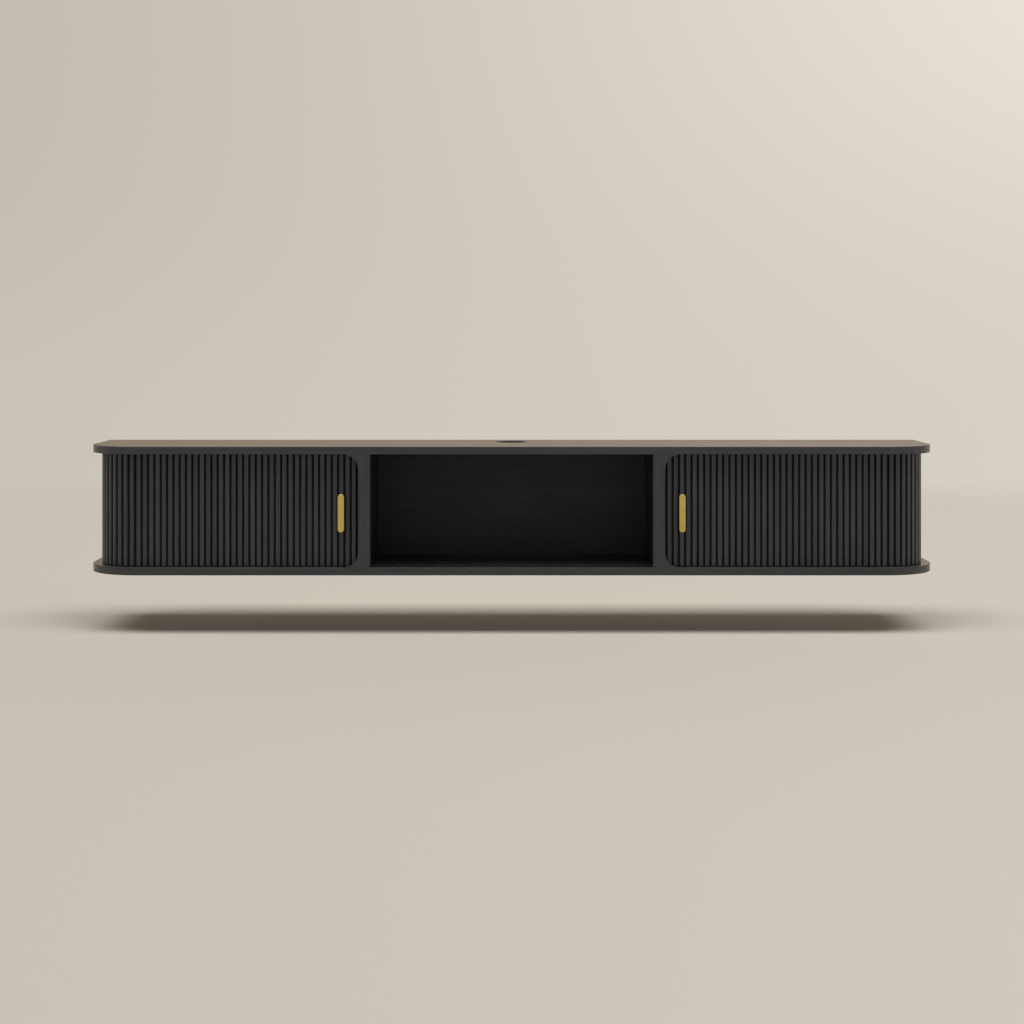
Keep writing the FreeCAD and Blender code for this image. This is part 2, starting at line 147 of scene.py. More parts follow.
class ConsoleSizes(bpy.types.PropertyGroup):
    """Sizes of the details that the looks add to the carcass."""

    slat_pitch: FloatProperty(
        name="Slat pitch", description="Middle of one slat to the next",
        default=0.014845, min=0.005, unit="LENGTH", precision=4)
    slat_base_width: FloatProperty(
        name="Slat base", description="Width of a slat's flat base",
        default=0.0146, min=0.004, unit="LENGTH", precision=4)
    slat_base_thickness: FloatProperty(
        name="Slat base thickness", description="Thickness of the base, which runs in the grooves",
        default=0.004, min=0.001, unit="LENGTH", precision=4)
    slat_crown_width: FloatProperty(
        name="Slat crown", description="Width of the raised middle of a slat",
        default=0.0102, min=0.003, unit="LENGTH", precision=4)
    slat_rounding: FloatProperty(
        name="Crown rounding", description="Radius of the crown's two long edges",
        default=0.0016, min=0.0002, unit="LENGTH", precision=4)
    slat_tongue: FloatProperty(
        name="Tongue", description="Length of the base beyond the crown at each end",
        default=0.0065, min=0.001, unit="LENGTH", precision=4)
    lead_slats: IntProperty(
        name="Lead slats", description="Slats that slide as one piece with the handle",
        default=5, min=3)
    front_slats: IntProperty(
        name="Slats on the front", description="Slats between the stile and the front bend",
        default=35, min=5)
    all_slats: IntProperty(
        name="Slats in all", description="Slats in one curtain",
        default=56, min=10)
    groove_clearance: FloatProperty(
        name="Groove clearance", description="Room on each side of a slat's base in its groove",
        default=0.0008, min=0.0001, unit="LENGTH", precision=4)
    groove_depth: FloatProperty(
        name="Groove depth", description="Depth of the curtain's groove in both panels",
        default=0.0053, min=0.001, unit="LENGTH", precision=4)
    groove_end: FloatProperty(
        name="Groove end", description="Length of the groove's line, from the console's middle",
        default=1.6459, min=0.5, unit="LENGTH", precision=4)
    panel_rounding: FloatProperty(
        name="Panel edges", description="Radius of the panels' outer edges",
        default=0.0009, min=0.0002, unit="LENGTH", precision=4)
    board_rounding: FloatProperty(
        name="Board edges", description="Radius of the other boards' edges",
        default=0.0006, min=0.0001, unit="LENGTH", precision=4)
    handle_bevel: FloatProperty(
        name="Handle bevel", description="Width of the bevel round the bar's face",
        default=0.0026, min=0.0005, unit="LENGTH", precision=4)
    handle_slope: FloatProperty(
        name="Bevel slope", description="How far the bevel falls back from the bar's face",
        default=math.radians(22), min=0.1, max=1.0, subtype="ANGLE")
    handle_rounding: FloatProperty(
        name="Handle edge", description="Radius of the bar's outer edge",
        default=0.0012, min=0.0003, unit="LENGTH", precision=4)
    handle_post_radius: FloatProperty(
        name="Handle post", description="Radius of the handle's two posts",
        default=0.0039, min=0.001, unit="LENGTH", precision=4)
    handle_post_spacing: FloatProperty(
        name="Post spacing", description="Distance between the handle's posts",
        default=0.064, min=0.01, unit="LENGTH", precision=4)
    grommet_bore: FloatProperty(
        name="Cable port", description="Radius of the grommet's bore",
        default=0.034, min=0.005, unit="LENGTH", precision=4)
    grommet_flange: FloatProperty(
        name="Grommet flange", description="Thickness of the grommet's flange",
        default=0.0025, min=0.0005, unit="LENGTH", precision=4)
    grommet_wall: FloatProperty(
        name="Grommet wall", description="Thickness of the grommet's sleeve",
        default=0.002, min=0.0005, unit="LENGTH", precision=4)
    grommet_play: FloatProperty(
        name="Grommet play", description="Play between the grommet and its hole",
        default=0.0002, min=0, unit="LENGTH", precision=4)
    panel_screw_radius: FloatProperty(
        name="Panel screw head", description="Radius of the screw heads under the bottom panel",
        default=0.0048, min=0.002, unit="LENGTH", precision=4)
    panel_screw_seat: FloatProperty(
        name="Screw seat", description="Depth of the seats of the screws under the bottom panel",
        default=0.0028, min=0.001, unit="LENGTH", precision=4)
    floor_drop: FloatProperty(
        name="Floor below", description="Height of the console's underside above the floor",
        default=0.1381, min=0.0, unit="LENGTH", precision=3)


class ConsoleColours(bpy.types.PropertyGroup):
    """Colours of the console's finishes and of the studio, as linear values."""

    stain: FloatVectorProperty(
        name="Stain", description="Black stain on the wood",
        subtype="COLOR", size=3, min=0, max=1, default=(0.0186, 0.0191, 0.0204))
    stain_light: FloatVectorProperty(
        name="Lighter grain", description="Lighter streaks of the stained wood",
        subtype="COLOR", size=3, min=0, max=1, default=(0.0301, 0.0305, 0.0316))
    # Painted shade: the inner stain is darker than the outer stain, standing in for the shade inside
    # the bay and the cupboards.
    inner_stain_and_shade: FloatVectorProperty(
        name="Inner stain", description="Stain on the inner boards",
        subtype="COLOR", size=3, min=0, max=1, default=(0.0134, 0.0134, 0.0140))
    brass: FloatVectorProperty(
        name="Brass", description="Satin brass of the handles",
        subtype="COLOR", size=3, min=0, max=1, default=(0.655, 0.487, 0.139))
    ply_face: FloatVectorProperty(
        name="Plywood", description="Bare plywood of the cleats",
        subtype="COLOR", size=3, min=0, max=1, default=(0.52, 0.38, 0.23))
    ply_edge: FloatVectorProperty(
        name="Plywood layers", description="Darker layers of the plywood's edges",
        subtype="COLOR", size=3, min=0, max=1, default=(0.27, 0.17, 0.09))
    ground: FloatVectorProperty(
        name="Floor", description="Pale floor under the console",
        subtype="COLOR", size=3, min=0, max=1, default=(0.5450, 0.5150, 0.4595))
    backdrop: FloatVectorProperty(
        name="Backdrop", description="Pale backdrop straight behind the console",
        subtype="COLOR", size=3, min=0, max=1, default=(0.631, 0.591, 0.515))
    glow: FloatVectorProperty(
        name="Backdrop glow", description="Tint of the light on the backdrop's right",
        subtype="COLOR", size=3, min=0, max=1, default=(1.0, 0.965, 0.894))
    rear_glow: FloatVectorProperty(
        name="Rear glow", description="Warmer tone of the backdrop in low reflections",
        subtype="COLOR", size=3, min=0, max=1, default=(0.598, 0.490, 0.373))
    rear_fill: FloatVectorProperty(
        name="Rear fill", description="Warm light from behind the console",
        subtype="COLOR", size=3, min=0, max=1, default=(1.0, 0.854, 0.702))
    front_fill: FloatVectorProperty(
        name="Front fill", description="Cool light from the room in front",
        subtype="COLOR", size=3, min=0, max=1, default=(0.80, 0.885, 1.0))


def sizes():
    return bpy.context.scene.console_sizes


def colours():
    return bpy.context.scene.console_colours


# ---------------------------------------------------------------- node helpers

def new_material(name):
    """A material with an empty node tree, and its tree."""
    material = bpy.data.materials.new(name)
    material.use_nodes = True
    material.node_tree.nodes.clear()
    return material, material.node_tree


def node(tree, kind, **settings):
    """A node with its properties set; settings named with a capital are its sockets."""
    made = tree.nodes.new(kind)
    for key, value in settings.items():
        if key[0].isupper():
            made.inputs[key.replace("_", " ")].default_value = value
        else:
            setattr(made, key, value)
    return made


def join(tree, start, end):
    tree.links.new(start, end)


def feed(tree, sockets, values):
    """Give each socket its value, which is another socket or a plain value."""
    for socket, value in zip(sockets, values):
        if isinstance(value, bpy.types.NodeSocket):
            join(tree, value, socket)
        else:
            socket.default_value = value


def number(tree, operation, first, second=0.0):
    """The result of a sum on sockets or plain numbers."""
    made = node(tree, "ShaderNodeMath", operation=operation)
    feed(tree, made.inputs, (first, second))
    return made.outputs[0]


def product(tree, first, second):
    return number(tree, "MULTIPLY", first, second)


def total(tree, first, second):
    return number(tree, "ADD", first, second)


def vector_sum(tree, operation, *values):
    """The result of a sum on sockets or plain vectors."""
    made = node(tree, "ShaderNodeVectorMath", operation=operation)
    feed(tree, made.inputs, values)
    return made.outputs["Value" if operation == "LENGTH" else "Vector"]


def split(tree, vector):
    """A vector's parts, as sockets named X, Y and Z."""
    made = node(tree, "ShaderNodeSeparateXYZ")
    join(tree, vector, made.inputs[0])
    return made.outputs


def remap(tree, value, low, high, to_low, to_high, smooth=False):
    """A socket's value moved from one range to another, and held inside it."""
    kind = "SMOOTHSTEP" if smooth else "LINEAR"
    made = node(tree, "ShaderNodeMapRange", interpolation_type=kind, clamp=True)
    sockets = [made.inputs[name] for name in ("Value", "From Min", "From Max", "To Min", "To Max")]
    feed(tree, sockets, (value, low, high, to_low, to_high))
    return made.outputs["Result"]


def mixed_colour(tree, share, first, second, blend="MIX"):
    """A blend of two colours, each a socket or a plain colour."""
    made = node(tree, "ShaderNodeMix", data_type="RGBA", blend_type=blend)
    ends = [end if isinstance(end, bpy.types.NodeSocket) else (*end, 1.0) for end in (first, second)]
    feed(tree, [made.inputs[at] for at in (0, 6, 7)], (share, *ends))
    return made.outputs[2]


def mixed_shader(tree, share, first, second):
    made = node(tree, "ShaderNodeMixShader")
    feed(tree, made.inputs, (share, first, second))
    return made.outputs[0]


def coordinates(tree, scale=(1.0, 1.0, 1.0)):
    """Object coordinates, scaled along each axis."""
    place = node(tree, "ShaderNodeTexCoord")
    mapping = node(tree, "ShaderNodeMapping", Scale=scale)
    join(tree, place.outputs["Object"], mapping.inputs["Vector"])
    return mapping.outputs["Vector"]


def noise(tree, vector, scale, detail=3.0, roughness=0.5, distortion=0.0):
    made = node(tree, "ShaderNodeTexNoise", Scale=scale, Detail=detail,
                Roughness=roughness, Distortion=distortion)
    join(tree, vector, made.inputs["Vector"])
    return made.outputs["Fac"]


def bumped(tree, height, strength, distance):
    """A normal from a height."""
    made = node(tree, "ShaderNodeBump", Strength=strength, Distance=distance)
    join(tree, height, made.inputs["Height"])
    return made.outputs["Normal"]


def surface(tree, **settings):
    """A principled surface wired to the material's output."""
    shader = node(tree, "ShaderNodeBsdfPrincipled", **settings)
    output = node(tree, "ShaderNodeOutputMaterial")
    join(tree, shader.outputs[0], output.inputs["Surface"])
    return shader


# ---------------------------------------------------------------- finishes

GRAIN_STRETCH = 0.035
GRAIN_ALONG = {"x": (GRAIN_STRETCH, 1.0, 1.0), "z": (1.0, 1.0, GRAIN_STRETCH)}
FIGURE_SCALE = 60.0
PORE_SCALE = 620.0
SMUDGE_SCALE = 300.0
CLOUD_SCALE = 7.0
PORE_COLOUR = (0.004, 0.004, 0.004)
# Painted shade for the gaps between the slats' crowns: a near-black colour and how much of it is mixed
# in.
GAP_SHADE_COLOUR = (0.0005, 0.0005, 0.0005)
GAP_SHADE_SHARE = 0.78


def stained_wood(name, along, dark, light, roughness=0.42, gloss=0.6, polish=0.65, bump=0.22,
                 varied=0.0, smudged=0.0, gap_shade=False):
    """Black-stained open-grained wood with a broad figure and fine pores.

    Polish is the share of its roughness that's left at a grazing angle. Varied and smudged are how
    far the tone strays from slat to slat and in fine smudges along the grain. Wood with painted gap
    shade is painted nearly black, and made fully rough, where its mesh's recess is one: painted shade
    for the gaps between the slats' crowns.
    """
    material, tree = new_material(name)
    vector = coordinates(tree, GRAIN_ALONG[along])
    figure = noise(tree, vector, FIGURE_SCALE, detail=5.0, roughness=0.55, distortion=0.6)
    pores = noise(tree, vector, PORE_SCALE, detail=2.0, roughness=0.6)
    clouds = noise(tree, coordinates(tree), CLOUD_SCALE, detail=2.0)

    def by_pore(inside, outside):
        return remap(tree, pores, 0.30, 0.48, inside, outside)

    streaks = remap(tree, figure, 0.36, 0.66, 0.0, 1.0, smooth=True)
    colour = mixed_colour(tree, streaks, dark, light)
    colour = mixed_colour(tree, by_pore(0.42, 0.0), colour, PORE_COLOUR)
    tone = remap(tree, clouds, 0.3, 0.7, 0.86, 1.12)
    if varied:
        island = node(tree, "ShaderNodeNewGeometry").outputs["Random Per Island"]
        tone = product(tree, tone, remap(tree, island, 0.0, 1.0, 1 - varied, 1 + varied))
    if smudged:
        smudges = noise(tree, vector, SMUDGE_SCALE, detail=2.0, distortion=0.3)
        tone = product(tree, tone, remap(tree, smudges, 0.3, 0.7, 1 - smudged, 1 + smudged))
    shade = node(tree, "ShaderNodeCombineColor")
    feed(tree, shade.inputs, (tone, tone, tone))
    colour = mixed_colour(tree, 1.0, colour, shade.outputs[0], blend="MULTIPLY")
    rough = total(tree, remap(tree, figure, 0.3, 0.7, roughness + 0.05, roughness - 0.05),
                  by_pore(0.16, 0.0))
    grazing = node(tree, "ShaderNodeLayerWeight", Blend=0.5).outputs["Facing"]
    rough = product(tree, rough, remap(tree, grazing, 0.55, 0.93, 1.0, polish, smooth=True))
    # Painted shade: where the mesh's recess is one, down in the gaps between the slats' crowns, the
    # colour is painted near-black; the roughness there is also made full.
    if gap_shade:
        deep = node(tree, "ShaderNodeAttribute", attribute_name="recess").outputs["Fac"]
        share = remap(tree, deep, 0.0, 1.0, 0.0, GAP_SHADE_SHARE)
        colour = mixed_colour(tree, share, colour, GAP_SHADE_COLOUR)
        rough = number(tree, "MAXIMUM", rough, deep)
    shader = surface(tree, Specular_IOR_Level=gloss)
    join(tree, colour, shader.inputs["Base Color"])
    join(tree, rough, shader.inputs["Roughness"])
    relief = total(tree, by_pore(0.0, 0.7), product(tree, figure, 0.5))
    join(tree, bumped(tree, relief, bump, 0.0004), shader.inputs["Normal"])
    return material


def bare_plywood():
    """Unfinished plywood, with its layers showing on the edges."""
    material, tree = new_material("bare_plywood")
    tint = colours()
    vector = coordinates(tree, GRAIN_ALONG["x"])
    figure = noise(tree, vector, 45.0, detail=5.0, distortion=0.5)
    fibres = noise(tree, vector, 700.0, detail=2.0)
    streaks = remap(tree, figure, 0.3, 0.7, 0.0, 0.45)
    face = mixed_colour(tree, streaks, tint.ply_face, tint.ply_edge)
    bands = node(tree, "ShaderNodeTexWave", bands_direction="Y", Scale=110.0, Distortion=0.4)
    join(tree, coordinates(tree), bands.inputs["Vector"])
    layers = remap(tree, bands.outputs["Fac"], 0.35, 0.65, 0.0, 0.8)
    edge = mixed_colour(tree, layers, tint.ply_face, tint.ply_edge)
    normal = split(tree, node(tree, "ShaderNodeNewGeometry").outputs["True Normal"])
    facing = number(tree, "GREATER_THAN", number(tree, "ABSOLUTE", normal["Y"]), 0.8)
    shader = surface(tree, Specular_IOR_Level=0.35)
    join(tree, mixed_colour(tree, facing, edge, face), shader.inputs["Base Color"])
    join(tree, remap(tree, fibres, 0.3, 0.7, 0.62, 0.78), shader.inputs["Roughness"])
    join(tree, bumped(tree, fibres, 0.2, 0.0004), shader.inputs["Normal"])
    return material


def woven_cloth():
    """The curtain's black backing cloth, in a plain weave."""
    material, tree = new_material("woven_cloth")
    vector = coordinates(tree)
    threads = []
    for direction in ("X", "Z"):
        wave = node(tree, "ShaderNodeTexWave", bands_direction=direction, Scale=420.0, Distortion=0.6)
        join(tree, vector, wave.inputs["Vector"])
        threads.append(wave.outputs["Fac"])
    weave = product(tree, threads[0], threads[1])
    fluff = noise(tree, vector, 900.0, detail=3.0)
    shader = surface(tree, Specular_IOR_Level=0.25, Sheen_Weight=0.35, Sheen_Roughness=0.5)
    cloth = mixed_colour(tree, weave, (0.008, 0.008, 0.0085), (0.028, 0.027, 0.026))
    join(tree, cloth, shader.inputs["Base Color"])
    join(tree, remap(tree, fluff, 0.3, 0.7, 0.78, 0.95), shader.inputs["Roughness"])
    join(tree, bumped(tree, weave, 0.5, 0.0003), shader.inputs["Normal"])
    return material


def satin_brass():
    """Brass brushed along its length, with a little uneven tarnish."""
    material, tree = new_material("satin_brass")
    brushed = noise(tree, coordinates(tree, (1.0, 1.0, 0.02)), 2600.0, detail=2.0)
    tarnish = noise(tree, coordinates(tree), 70.0, detail=4.0)
    tint = colours().brass
    deeper = (tint[0] * 0.72, tint[1] * 0.62, tint[2] * 0.5)
    shader = surface(tree, Metallic=1.0, Anisotropic=0.35)
    share = remap(tree, tarnish, 0.45, 0.75, 0.0, 0.5)
    join(tree, mixed_colour(tree, share, tint, deeper), shader.inputs["Base Color"])
    join(tree, remap(tree, brushed, 0.3, 0.7, 0.34, 0.48), shader.inputs["Roughness"])
    join(tree, bumped(tree, brushed, 0.12, 0.0001), shader.inputs["Normal"])
    return material


def speckled(name, scale, detail, share, dark, light, rough, bump=0.0, **settings):
    """A plain finish with fine specks.

    Share is the range of the specks that turns dark into light, and how far; rough is the range of
    the roughness.
    """
    material, tree = new_material(name)
    specks = noise(tree, coordinates(tree), scale, detail=detail)
    shader = surface(tree, **settings)
    tone = mixed_colour(tree, remap(tree, specks, *share), dark, light)
    join(tree, tone, shader.inputs["Base Color"])
    join(tree, remap(tree, specks, 0.3, 0.7, *rough), shader.inputs["Roughness"])
    if bump:
        join(tree, bumped(tree, specks, bump, 0.0001), shader.inputs["Normal"])
    return material


def moulded_plastic():
    """Black moulded plastic with a fine spark-eroded texture."""
    return speckled("moulded_plastic", 2200.0, 2.0, (0.3, 0.7, 0.0, 1.0), (0.010, 0.010, 0.010),
                    (0.016, 0.016, 0.016), (0.55, 0.70), bump=0.15, Specular_IOR_Level=0.3)


def black_steel():
    """Black-plated steel of the screws, rubbed brighter in places."""
    return speckled("black_steel", 900.0, 3.0, (0.4, 0.75, 0.0, 1.0), (0.035, 0.035, 0.037),
                    (0.16, 0.155, 0.15), (0.3, 0.5), Metallic=1.0)


def soft_rubber():
    """Matt black rubber of the door pads, a little dusty."""
    return speckled("soft_rubber", 500.0, 3.0, (0.4, 0.8, 0.0, 0.6), (0.012, 0.012, 0.012),
                    (0.05, 0.048, 0.045), (0.7, 0.85), Specular_IOR_Level=0.3)


def finish(name):
    """A finish by name, made the first time that it's asked for."""
    if name in bpy.data.materials:
        return bpy.data.materials[name]
    tint = colours()
    outer = {"dark": tuple(tint.stain), "light": tuple(tint.stain_light)}
    # The inner boards take the darker inner stain, which is painted shade of the console's inside.
    inner = {"dark": tuple(tint.inner_stain_and_shade)}
    inner["light"] = tuple(0.75 * a + 0.25 * b for a, b in zip(inner["dark"], outer["dark"]))
    woods = {
        "stained_panels": {"along": "x", "roughness": 0.38, **outer},
        "stained_stiles": {"along": "z", **outer},
        # The slats get painted shade in the gaps between their crowns.
        "stained_slats": {"along": "z", "polish": 0.85, "varied": 0.05, "smudged": 0.2,
                          "gap_shade": True, **outer},
        "stained_uprights": {"along": "z", "gloss": 0.3, **inner},
        "stained_backs": {"along": "x", "gloss": 0.25, "bump": 0.15, **inner},
    }
    if name in woods:
        return stained_wood(name, **woods[name])
    others = (bare_plywood, woven_cloth, satin_brass, moulded_plastic, black_steel, soft_rubber)
    return {other.__name__: other for other in others}[name]()


# ---------------------------------------------------------------- mesh helpers

EVEN_SHADING = ("WEIGHTED_NORMAL", {"keep_sharp": True, "weight": 80})


def body_with(node_name):
    """The body that a CAD node rides on."""
    return frame["nodes"][node_name]["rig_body"]


def placed(name, data):
    """A new object in the scene."""
    obj = bpy.data.objects.new(name, data)
    bpy.context.scene.collection.objects.link(obj)
    return obj


def worked(mesh, *modifiers):
    """The mesh after modifiers, each given as its kind and its settings."""
    obj = placed("work", mesh)
    for kind, settings in modifiers:
        modifier = obj.modifiers.new(kind.title(), kind)
        for key, value in settings.items():
            setattr(modifier, key, value)
    bpy.context.view_layer.update()
    graph = bpy.context.evaluated_depsgraph_get()
    made = bpy.data.meshes.new_from_object(obj.evaluated_get(graph), depsgraph=graph)
    bpy.data.objects.remove(obj)
    return made


def shaded(bm, name):
    """A mesh from a bmesh: smooth faces, parted where they meet at a sharp angle."""
    bmesh.ops.recalc_face_normals(bm, faces=bm.faces)
    for face in bm.faces:
        face.smooth = True
    for edge in bm.edges:
        edge.smooth = len(edge.link_faces) == 2 and edge.calc_face_angle(0.0) < SHARP_ANGLE
    mesh = bpy.data.meshes.new(name)
    bm.to_mesh(mesh)
    bm.free()
    return mesh


def softened(mesh, width):
    """The mesh with its edges rounded, and its flats shaded flat."""
    for polygon in mesh.polygons:
        polygon.use_smooth = True
    rounding = {"width": width, "segments": 3, "limit_method": "ANGLE",
                "angle_limit": ROUNDED_ANGLE, "use_clamp_overlap": True}
    return worked(mesh, ("BEVEL", rounding), EVEN_SHADING)


def evened(mesh):
    """The mesh with each flat's shading kept flat beside its rounded edges."""
    return worked(mesh, EVEN_SHADING)


def cut_away(mesh, cutters):
    """The mesh less each cutter."""
    for cutter in cutters:
        tool = placed("cutter", cutter)
        cut = {"operation": "DIFFERENCE", "solver": "EXACT", "object": tool}
        mesh = worked(mesh, ("BOOLEAN", cut))
        bpy.data.objects.remove(tool)
    return mesh


def cover(mesh, finish_name):
    """Give a mesh one finish and no other."""
    mesh.materials.clear()
    mesh.materials.append(finish(finish_name))


def add_piece(name, mesh, body, finish_name, stands_for=()):
    """A piece of the console that rides on a body and may stand for CAD nodes."""
    obj = placed(name, mesh)
    cover(mesh, finish_name)
    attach(obj, body)
    if stands_for:
        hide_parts(*stands_for)
    return obj


def dress(node_name, finish_name):
    """A better finish on a CAD node that stays."""
    cover(frame["nodes"][node_name].data, finish_name)


def cleaned_copy(node_name):
    """A copy of a CAD node's mesh without its triangulation."""
    bm = bmesh.new()
    bm.from_mesh(frame["nodes"][node_name].data)
    bmesh.ops.remove_doubles(bm, verts=bm.verts, dist=WELD)
    bmesh.ops.dissolve_limit(bm, angle_limit=FLAT_ANGLE, verts=bm.verts, edges=bm.edges)
    return bm


def softened_node(node_name, finish_name, width):
    """A board in its CAD shape with softened edges, in place of the CAD node."""
    mesh = softened(shaded(cleaned_copy(node_name), node_name + "_eased"), width)
    add_piece(node_name + "_eased", mesh, body_with(node_name), finish_name, [node_name])


def arc(centre, radius, start, end, steps):
    """Points along an arc, from one angle to another."""
    angles = [start + (end - start) * step / steps for step in range(steps + 1)]
    return [(centre[0] + radius * math.cos(a), centre[1] + radius * math.sin(a)) for a in angles]


def prism(outline, low, high, name):
    """A closed upright prism on a plan outline."""
    bm = bmesh.new()
    base = bm.faces.new([bm.verts.new((x, y, low)) for x, y in outline])
    raised = bmesh.ops.extrude_face_region(bm, geom=[base])
    moved = [part for part in raised["geom"] if isinstance(part, bmesh.types.BMVert)]
    bmesh.ops.translate(bm, verts=moved, vec=(0, 0, high - low))
    return shaded(bm, name)


def turned(profile, centre, axis, steps=32):
    """A closed ring or disc: a profile of (radius, along) pairs turned about an axis."""
    bm = bmesh.new()
    frame_of = axis.to_track_quat("Z", "X").to_matrix()
    rings = []
    for radius, along in profile:
        if radius < FINE_WELD:
            rings.append([bm.verts.new(centre + axis * along)])
            continue
        ring = []
        for step in range(steps):
            angle = 2 * math.pi * step / steps
            spoke = frame_of @ Vector((math.cos(angle), math.sin(angle), 0.0))
            ring.append(bm.verts.new(centre + axis * along + spoke * radius))
        rings.append(ring)
    for inner, outer in zip(rings, rings[1:]):
        for step in range(steps):
            after = (step + 1) % steps
            corners = [inner[step % len(inner)], outer[step % len(outer)],
                       outer[after % len(outer)], inner[after % len(inner)]]
            bm.faces.new(list(dict.fromkeys(corners)))
    return bm


def merged(meshes, name):
    """One mesh from several, which aren't kept."""
    bm = bmesh.new()
    for mesh in meshes:
        bm.from_mesh(mesh)
        bpy.data.meshes.remove(mesh)
    made = bpy.data.meshes.new(name)
    bm.to_mesh(made)
    bm.free()
    return made


def mirror_mesh(mesh):
    """The same mesh on the other side of the console."""
    mesh.transform(Matrix.Scale(-1, 4, Vector((1, 0, 0))))
    mesh.flip_normals()
    return mesh


# ---------------------------------------------------------------- the curtain's line

def line_stretches():
    """The line's stretches: where each ends, and a function from distance to point and angle."""
    front_end = LINE_X - BEND_RADIUS
    bend_end = front_end + BEND_RADIUS * QUARTER
    side_start = LINE_Y + BEND_RADIUS
    side_end = bend_end + (REAR_LINE_Y - REAR_BEND_RADIUS) - side_start
    rear_end = side_end + REAR_BEND_RADIUS * QUARTER
    rear_x = LINE_X - REAR_BEND_RADIUS
    rear_y = REAR_LINE_Y - REAR_BEND_RADIUS

    def on_bend(x, y, radius, angle):
        return x + radius * math.cos(angle), y + radius * math.sin(angle), angle

    return [
        (front_end, lambda s: (s, LINE_Y, -QUARTER)),
        (bend_end, lambda s: on_bend(
            front_end, side_start, BEND_RADIUS, (s - front_end) / BEND_RADIUS - QUARTER)),
        (side_end, lambda s: (LINE_X, side_start + s - bend_end, 0.0)),
        (rear_end, lambda s: on_bend(
            rear_x, rear_y, REAR_BEND_RADIUS, (s - side_end) / REAR_BEND_RADIUS)),
        (math.inf, lambda s: (rear_x - (s - rear_end), REAR_LINE_Y, QUARTER)),
    ]


def on_line(distance):
    """The point at a distance along the curtain's line, and its outward angle."""
    for end, place in line_stretches():
        if distance <= end:
            return place(distance)
    raise ValueError("the curtain's line has no such distance")


def band_outline(inner, outer, start, end, step=0.004):
    """The plan outline of an even strip that follows the line."""
    stops = [start]
    for stretch_end, _ in line_stretches():
        while stops[-1] + step < min(stretch_end, end):
            stops.append(stops[-1] + step)
        if stretch_end < end:
            stops.append(stretch_end)
    stops.append(end)
    places = [on_line(stop) for stop in stops]

    def side(offset):
        return [(x + offset * math.cos(a), y + offset * math.sin(a)) for x, y, a in places]

    return side(inner) + side(outer)[::-1]


# ---------------------------------------------------------------- pieces

def panel_outline():
    """The panels' plan, with smooth front corners."""
    half, front, corner, steps = TOP_HIGH.x, TOP_LOW.y, PANEL_CORNER, 40
    points = [(half, 0.0)]
    for side in (1, -1):
        for step in range(steps + 1):
            turn = step / steps if side > 0 else 1 - step / steps
            angle = -QUARTER * turn
            points.append((side * (half - corner + corner * math.cos(angle)),
                           front + corner + corner * math.sin(angle)))
    return points + [(-half, 0.0)]


def groove_cutters(low, high):
    """Solids that cut the curtain's groove on both sides."""
    size = sizes()
    outer = size.slat_base_thickness + size.groove_clearance
    outline = band_outline(-size.groove_clearance, outer, LEAD_LOW.x, size.groove_end)
    right, left = (prism(outline, low, high, "groove") for _ in SIDES)
    return [right, mirror_mesh(left)]


def port_cutter():
    """A solid that cuts the stepped hole for the grommet's sleeve and flange."""
    size = sizes()
    middle = (GROMMET_LOW + GROMMET_HIGH) / 2
    foot = Vector((middle.x, middle.y, TOP_LOW.z))
    flange = (GROMMET_HIGH.x - GROMMET_LOW.x) / 2
    sleeve = size.grommet_bore + size.grommet_wall + size.grommet_play
    seat = TOP_HIGH.z - size.grommet_flange - TOP_LOW.z
    end = TOP_HIGH.z - TOP_LOW.z + CUT_SPARE
    profile = [(0, -CUT_SPARE), (sleeve, -CUT_SPARE), (sleeve, seat),
               (flange, seat), (flange, end), (0, end)]
    return shaded(turned(profile, foot, UP, steps=96), "port")


def panel_screw_places():
    """Where the screws under the bottom panel hold the dividers and inner ends."""
    places = []
    for side, _ in SIDES:
        for board in ("_divider", "_inner_end"):
            low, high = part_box(side + board)
            for y in (low.y + SCREW_INSET, high.y - SCREW_INSET):
                places.append(Vector(((low.x + high.x) / 2, y, BOTTOM_LOW.z)))
    return places


def countersink_cutter(place):
    """A solid that cuts the seat of one screw head in the underside."""
    radius, depth = sizes().panel_screw_radius + SCREW_PLAY, sizes().panel_screw_seat
    profile = [(0, -CUT_SPARE), (radius, -CUT_SPARE), (radius, depth), (0, depth)]
    return shaded(turned(profile, place, UP), "seat")


def make_panels():
    """Top and bottom panels with rounded front corners, eased edges and the curtain's groove."""
    size = sizes()
    above = groove_cutters(TOP_LOW.z - CUT_SPARE, TOP_LOW.z + size.groove_depth)
    above.append(port_cutter())
    below = groove_cutters(BOTTOM_HIGH.z - size.groove_depth, BOTTOM_HIGH.z + CUT_SPARE)
    below += [countersink_cutter(place) for place in panel_screw_places()]
    panels = (
        ("top_panel", TOP_LOW, TOP_HIGH, above),
        ("bottom_panel", BOTTOM_LOW, BOTTOM_HIGH, below),
    )
    for name, low, high, cutters in panels:
        mesh = cut_away(prism(panel_outline(), low.z, high.z, name), cutters)
        mesh = softened(mesh, size.panel_rounding)
        add_piece(name + "_eased", mesh, "carcass", "stained_panels", [name])


def make_uprights():
    """Dividers, stiles, rails, inner ends and posts, with softened edges."""
    width = sizes().board_rounding
    for side, _ in SIDES:
        softened_node(side + "_stile", "stained_stiles", width)
        for name in ("_divider", "_stop_rail", "_inner_end", "_rear_post"):
            softened_node(side + name, "stained_uprights", width)


def make_backs():
    """The back panel and the cupboards' false backs."""
    dress("back_panel", "stained_backs")
    for side, _ in SIDES:
        softened_node(side + "_false_back", "stained_backs", sizes().board_rounding)


